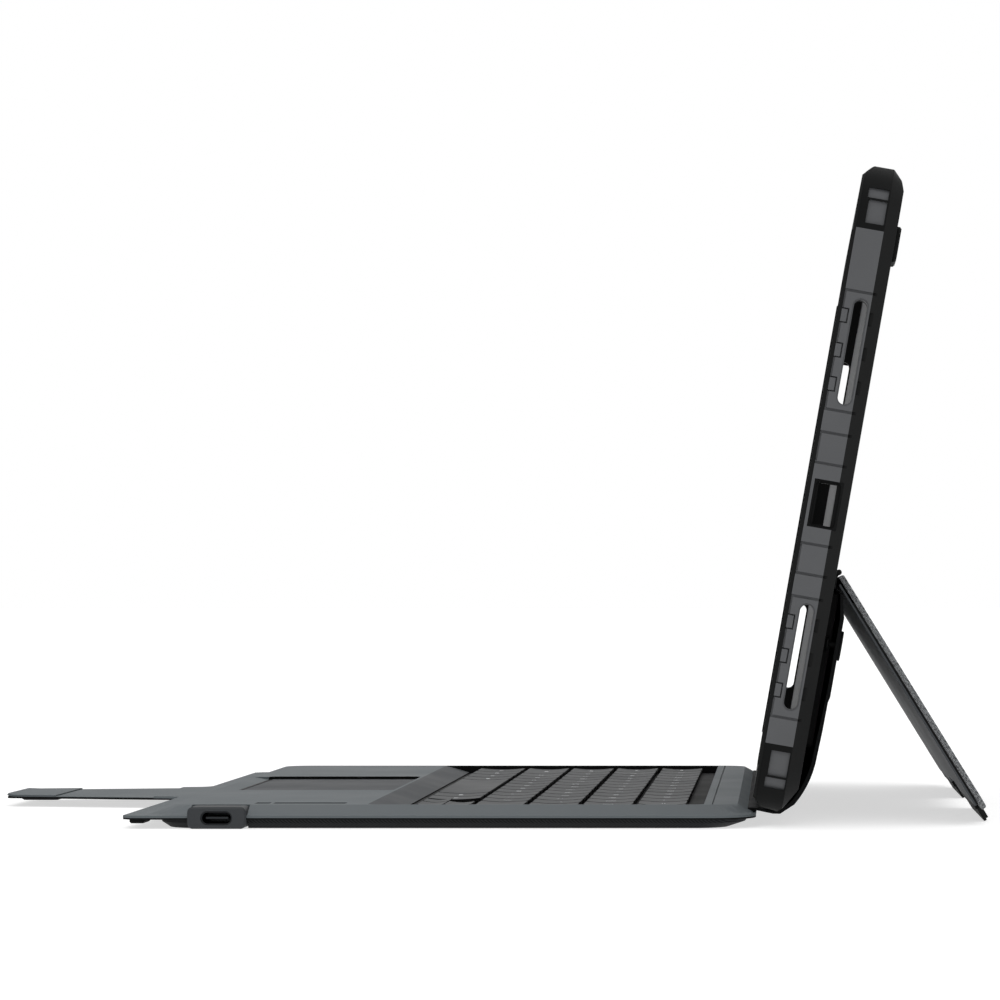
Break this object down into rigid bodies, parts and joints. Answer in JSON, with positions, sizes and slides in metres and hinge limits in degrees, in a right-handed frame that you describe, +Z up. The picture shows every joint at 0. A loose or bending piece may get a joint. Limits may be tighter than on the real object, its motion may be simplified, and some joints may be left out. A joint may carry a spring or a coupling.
{
  "type": "tablet keyboard case",
  "caption": "Folding tablet case with an attached keyboard, trackpad, rear kickstand and a front closing flap, open on a table for typing.",
  "frame": {"origin": "middle of the keyboard's flat underside, on the surface it stands on", "axes": "+X to the user's right, +Y away from the user, +Z up"},
  "size_m": [0.2626, 0.3162, 0.1963],
  "materials": {
    "woven_black": "fine twill weave",
    "black_skin": "matt coated sheet",
    "grey_skin": "smooth matt coated sheet",
    "smoked_plastic": "smoked",
    "steel": "brushed",
    "black_steel": "satin black coating",
    "black_plastic": "fine moulded texture",
    "cell_foil": "foil",
    "board_green": "solder mask",
    "trackpad_grey": "smooth satin",
    "grey_rubber": "satin moulded",
    "black_rubber": "satin moulded",
    "microfibre": "brushed nap",
    "woven_charcoal": "woven, speckled",
    "key_black": "satin"
  },
  "bodies": {
    "keyboard": {"base_tray": "woven_black", "lower_skin": "black_skin", "deck_frame": "grey_skin", "status_light_window": "smoked_plastic", "key_plate": "steel", "key_membrane": "black_plastic", "battery_cells": "cell_foil", "control_board": "board_green", "charge_port_housing": "black_plastic", "charge_port_socket": "steel", "trackpad_tray": "black_plastic", "corner_magnet_pads": "black_plastic", "spine_strap": "black_skin", "flap_root_fold": "grey_skin"},
    "tablet_shell": {"front_bezel": "black_plastic", "side_frame": "grey_rubber", "corner_bumpers": "black_rubber", "bezel_clips": "grey_rubber", "tablet_liner": "black_rubber", "dock_surround": "black_rubber", "back_shell": "black_plastic", "back_liner": "microfibre", "camera_guard_ring": "black_plastic", "rear_rest_pad": "black_rubber", "folio_cover": "black_skin", "folio_core_plate": "black_plastic", "snap_studs": "steel", "hinge_knuckles": "black_steel", "hinge_pin": "steel"},
    "kickstand": {"kickstand_fabric": "woven_charcoal", "kickstand_core": "black_plastic", "kickstand_liner": "grey_skin", "kickstand_feet": "black_rubber", "kickstand_leaf": "black_steel"},
    "trackpad": {"trackpad_plate": "trackpad_grey"},
    "flap_riser": {"flap_riser": "grey_skin", "flap_tip_fold": "grey_skin"},
    "flap_tip": {"flap_tip": "grey_skin", "flap_magnet": "black_skin"},
    "volume_up_button": {"volume_up_button": "black_rubber"},
    "volume_down_button": {"volume_down_button": "black_rubber"},
    "power_button": {"power_button": "black_rubber"},
    "number_row_keys": {"number_row_keys": "key_black"},
    "tab_key": {"tab_key": "key_black"},
    "upper_letter_keys": {"upper_letter_keys": "key_black"},
    "backslash_key": {"backslash_key": "key_black"},
    "caps_key": {"caps_key": "key_black"},
    "home_letter_keys": {"home_letter_keys": "key_black"},
    "enter_key": {"enter_key": "key_black"},
    "left_shift_key": {"left_shift_key": "key_black"},
    "lower_letter_keys": {"lower_letter_keys": "key_black"},
    "right_shift_key": {"right_shift_key": "key_black"},
    "left_modifier_keys": {"left_modifier_keys": "key_black"},
    "space_bar": {"space_bar": "key_black"},
    "right_modifier_keys": {"right_modifier_keys": "key_black"},
    "side_arrow_keys": {"side_arrow_keys": "key_black"},
    "down_arrow_key": {"down_arrow_key": "key_black"},
    "up_arrow_key": {"up_arrow_key": "key_black"}
  },
  "joints": [
    {"name": "case_fold", "type": "hinge", "parent": "keyboard", "child": "tablet_shell", "pos_m": [0, 0.0916, 0.0072], "axis": [1, 0, 0], "range_deg": [-25, 100], "deforming": ["spine_strap"]},
    {"name": "kickstand_swing", "type": "hinge", "parent": "tablet_shell", "child": "kickstand", "pos_m": [0, 0.118, 0.07554], "axis": [1, 0, 0], "range_deg": [-4, 138.3]},
    {"name": "flap_rise", "type": "hinge", "parent": "keyboard", "child": "flap_riser", "pos_m": [0, -0.1028, 0.0031], "axis": [-1, 0, 0], "range_deg": [0, 90], "deforming": ["flap_root_fold"]},
    {"name": "flap_wrap", "type": "hinge", "parent": "flap_riser", "child": "flap_tip", "pos_m": [0, -0.1213, 0.0031], "axis": [-1, 0, 0], "range_deg": [0, 90], "deforming": ["flap_tip_fold"]},
    {"name": "trackpad_click", "type": "slide", "parent": "keyboard", "child": "trackpad", "axis": [0, 0, -1], "range_m": [0, 0.0004], "stiffness_N_per_m": 1500, "springref_m": -0.0004},
    {"name": "volume_up_press", "type": "slide", "parent": "tablet_shell", "child": "volume_up_button", "axis": [0, -0.1736, -0.9848], "range_m": [0, 0.0006], "stiffness_N_per_m": 800, "springref_m": -0.0004},
    {"name": "volume_down_press", "type": "slide", "parent": "tablet_shell", "child": "volume_down_button", "axis": [0, -0.1736, -0.9848], "range_m": [0, 0.0006], "stiffness_N_per_m": 800, "springref_m": -0.0004},
    {"name": "power_press", "type": "slide", "parent": "tablet_shell", "child": "power_button", "axis": [1, 0, 0], "range_m": [0, 0.0006], "stiffness_N_per_m": 800, "springref_m": -0.0004},
    {"name": "number_row_press", "type": "slide", "parent": "keyboard", "child": "number_row_keys", "axis": [0, 0, -1], "range_m": [0, 0.0009], "stiffness_N_per_m": 400, "springref_m": -0.0006},
    {"name": "tab_press", "type": "slide", "parent": "keyboard", "child": "tab_key", "axis": [0, 0, -1], "range_m": [0, 0.0009], "stiffness_N_per_m": 400, "springref_m": -0.0006},
    {"name": "upper_letter_press", "type": "slide", "parent": "keyboard", "child": "upper_letter_keys", "axis": [0, 0, -1], "range_m": [0, 0.0009], "stiffness_N_per_m": 400, "springref_m": -0.0006},
    {"name": "backslash_press", "type": "slide", "parent": "keyboard", "child": "backslash_key", "axis": [0, 0, -1], "range_m": [0, 0.0009], "stiffness_N_per_m": 400, "springref_m": -0.0006},
    {"name": "caps_press", "type": "slide", "parent": "keyboard", "child": "caps_key", "axis": [0, 0, -1], "range_m": [0, 0.0009], "stiffness_N_per_m": 400, "springref_m": -0.0006},
    {"name": "home_letter_press", "type": "slide", "parent": "keyboard", "child": "home_letter_keys", "axis": [0, 0, -1], "range_m": [0, 0.0009], "stiffness_N_per_m": 400, "springref_m": -0.0006},
    {"name": "enter_press", "type": "slide", "parent": "keyboard", "child": "enter_key", "axis": [0, 0, -1], "range_m": [0, 0.0009], "stiffness_N_per_m": 400, "springref_m": -0.0006},
    {"name": "left_shift_press", "type": "slide", "parent": "keyboard", "child": "left_shift_key", "axis": [0, 0, -1], "range_m": [0, 0.0009], "stiffness_N_per_m": 400, "springref_m": -0.0006},
    {"name": "lower_letter_press", "type": "slide", "parent": "keyboard", "child": "lower_letter_keys", "axis": [0, 0, -1], "range_m": [0, 0.0009], "stiffness_N_per_m": 400, "springref_m": -0.0006},
    {"name": "right_shift_press", "type": "slide", "parent": "keyboard", "child": "right_shift_key", "axis": [0, 0, -1], "range_m": [0, 0.0009], "stiffness_N_per_m": 400, "springref_m": -0.0006},
    {"name": "left_modifier_press", "type": "slide", "parent": "keyboard", "child": "left_modifier_keys", "axis": [0, 0, -1], "range_m": [0, 0.0009], "stiffness_N_per_m": 400, "springref_m": -0.0006},
    {"name": "space_bar_press", "type": "slide", "parent": "keyboard", "child": "space_bar", "axis": [0, 0, -1], "range_m": [0, 0.0009], "stiffness_N_per_m": 400, "springref_m": -0.0006},
    {"name": "right_modifier_press", "type": "slide", "parent": "keyboard", "child": "right_modifier_keys", "axis": [0, 0, -1], "range_m": [0, 0.0009], "stiffness_N_per_m": 400, "springref_m": -0.0006},
    {"name": "side_arrow_press", "type": "slide", "parent": "keyboard", "child": "side_arrow_keys", "axis": [0, 0, -1], "range_m": [0, 0.0009], "stiffness_N_per_m": 400, "springref_m": -0.0006},
    {"name": "down_arrow_press", "type": "slide", "parent": "keyboard", "child": "down_arrow_key", "axis": [0, 0, -1], "range_m": [0, 0.0009], "stiffness_N_per_m": 400, "springref_m": -0.0006},
    {"name": "up_arrow_press", "type": "slide", "parent": "keyboard", "child": "up_arrow_key", "axis": [0, 0, -1], "range_m": [0, 0.0009], "stiffness_N_per_m": 400, "springref_m": -0.0006}
  ]
}
